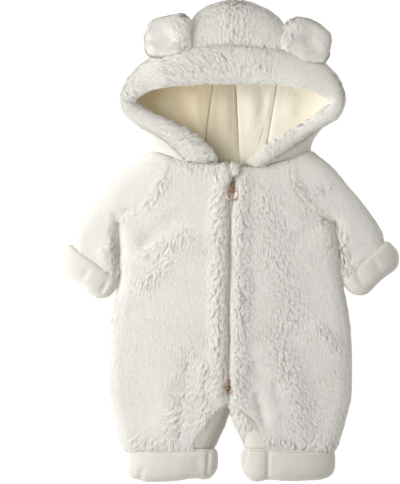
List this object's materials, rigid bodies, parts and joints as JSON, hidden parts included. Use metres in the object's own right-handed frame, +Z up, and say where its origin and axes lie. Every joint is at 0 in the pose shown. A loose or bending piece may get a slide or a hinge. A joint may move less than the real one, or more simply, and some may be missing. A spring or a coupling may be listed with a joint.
{
  "type": "baby snowsuit",
  "caption": "One-piece plush baby snowsuit laid flat, with a deep eared hood, lined face opening, two-way front zip and turned-back cuffs.",
  "frame": {"origin": "under the middle of the flat suit's box, on the surface it lies on", "axes": "+X to the picture's right, +Y towards the hood, +Z up from the surface"},
  "size_m": [0.5309, 0.743, 0.109],
  "materials": {
    "plush": "curly ivory plush",
    "gusset": "smooth beige fleece",
    "hood_side": "smooth cream fleece",
    "cuff": "smooth ivory velour",
    "ear": "short cream plush",
    "lining": "brushed cream fleece",
    "zip_tape": "woven tape",
    "zip_chain": "moulded coil",
    "zip_metal": "polished rose gold"
  },
  "bodies": {
    "garment": {"front_left": "plush", "front_right": "plush", "back": "plush", "gusset_left": "gusset", "gusset_right": "gusset", "sleeve_left": "plush", "sleeve_right": "plush", "sleeve_cuff_left": "cuff", "sleeve_cuff_right": "cuff", "leg_cuff_left": "cuff", "leg_cuff_right": "cuff", "hood_crown": "plush", "hood_side_left": "hood_side", "hood_side_right": "hood_side", "face_band": "plush", "ear_left": "ear", "ear_right": "ear", "hood_lining_side_left": "lining", "hood_lining_middle_left": "lining", "hood_lining_middle_right": "lining", "hood_lining_side_right": "lining", "chin_guard": "ear", "zip_tape_left": "zip_tape", "zip_tape_right": "zip_tape", "zip_chain": "zip_chain", "slider_upper": "zip_metal", "slider_lower": "zip_metal"},
    "upper_pull": {"ring_upper": "zip_metal"},
    "lower_pull": {"ring_lower": "zip_metal"}
  },
  "joints": [
    {"name": "upper_pull_swing", "type": "hinge", "parent": "garment", "child": "upper_pull", "pos_m": [0.0074, 0.0815, 0.0409], "axis": [-1, 0, 0], "range_deg": [0, 100]},
    {"name": "lower_pull_swing", "type": "hinge", "parent": "garment", "child": "lower_pull", "pos_m": [0.001, -0.226, 0.0409], "axis": [-1, 0, 0], "range_deg": [0, 100]}
  ]
}
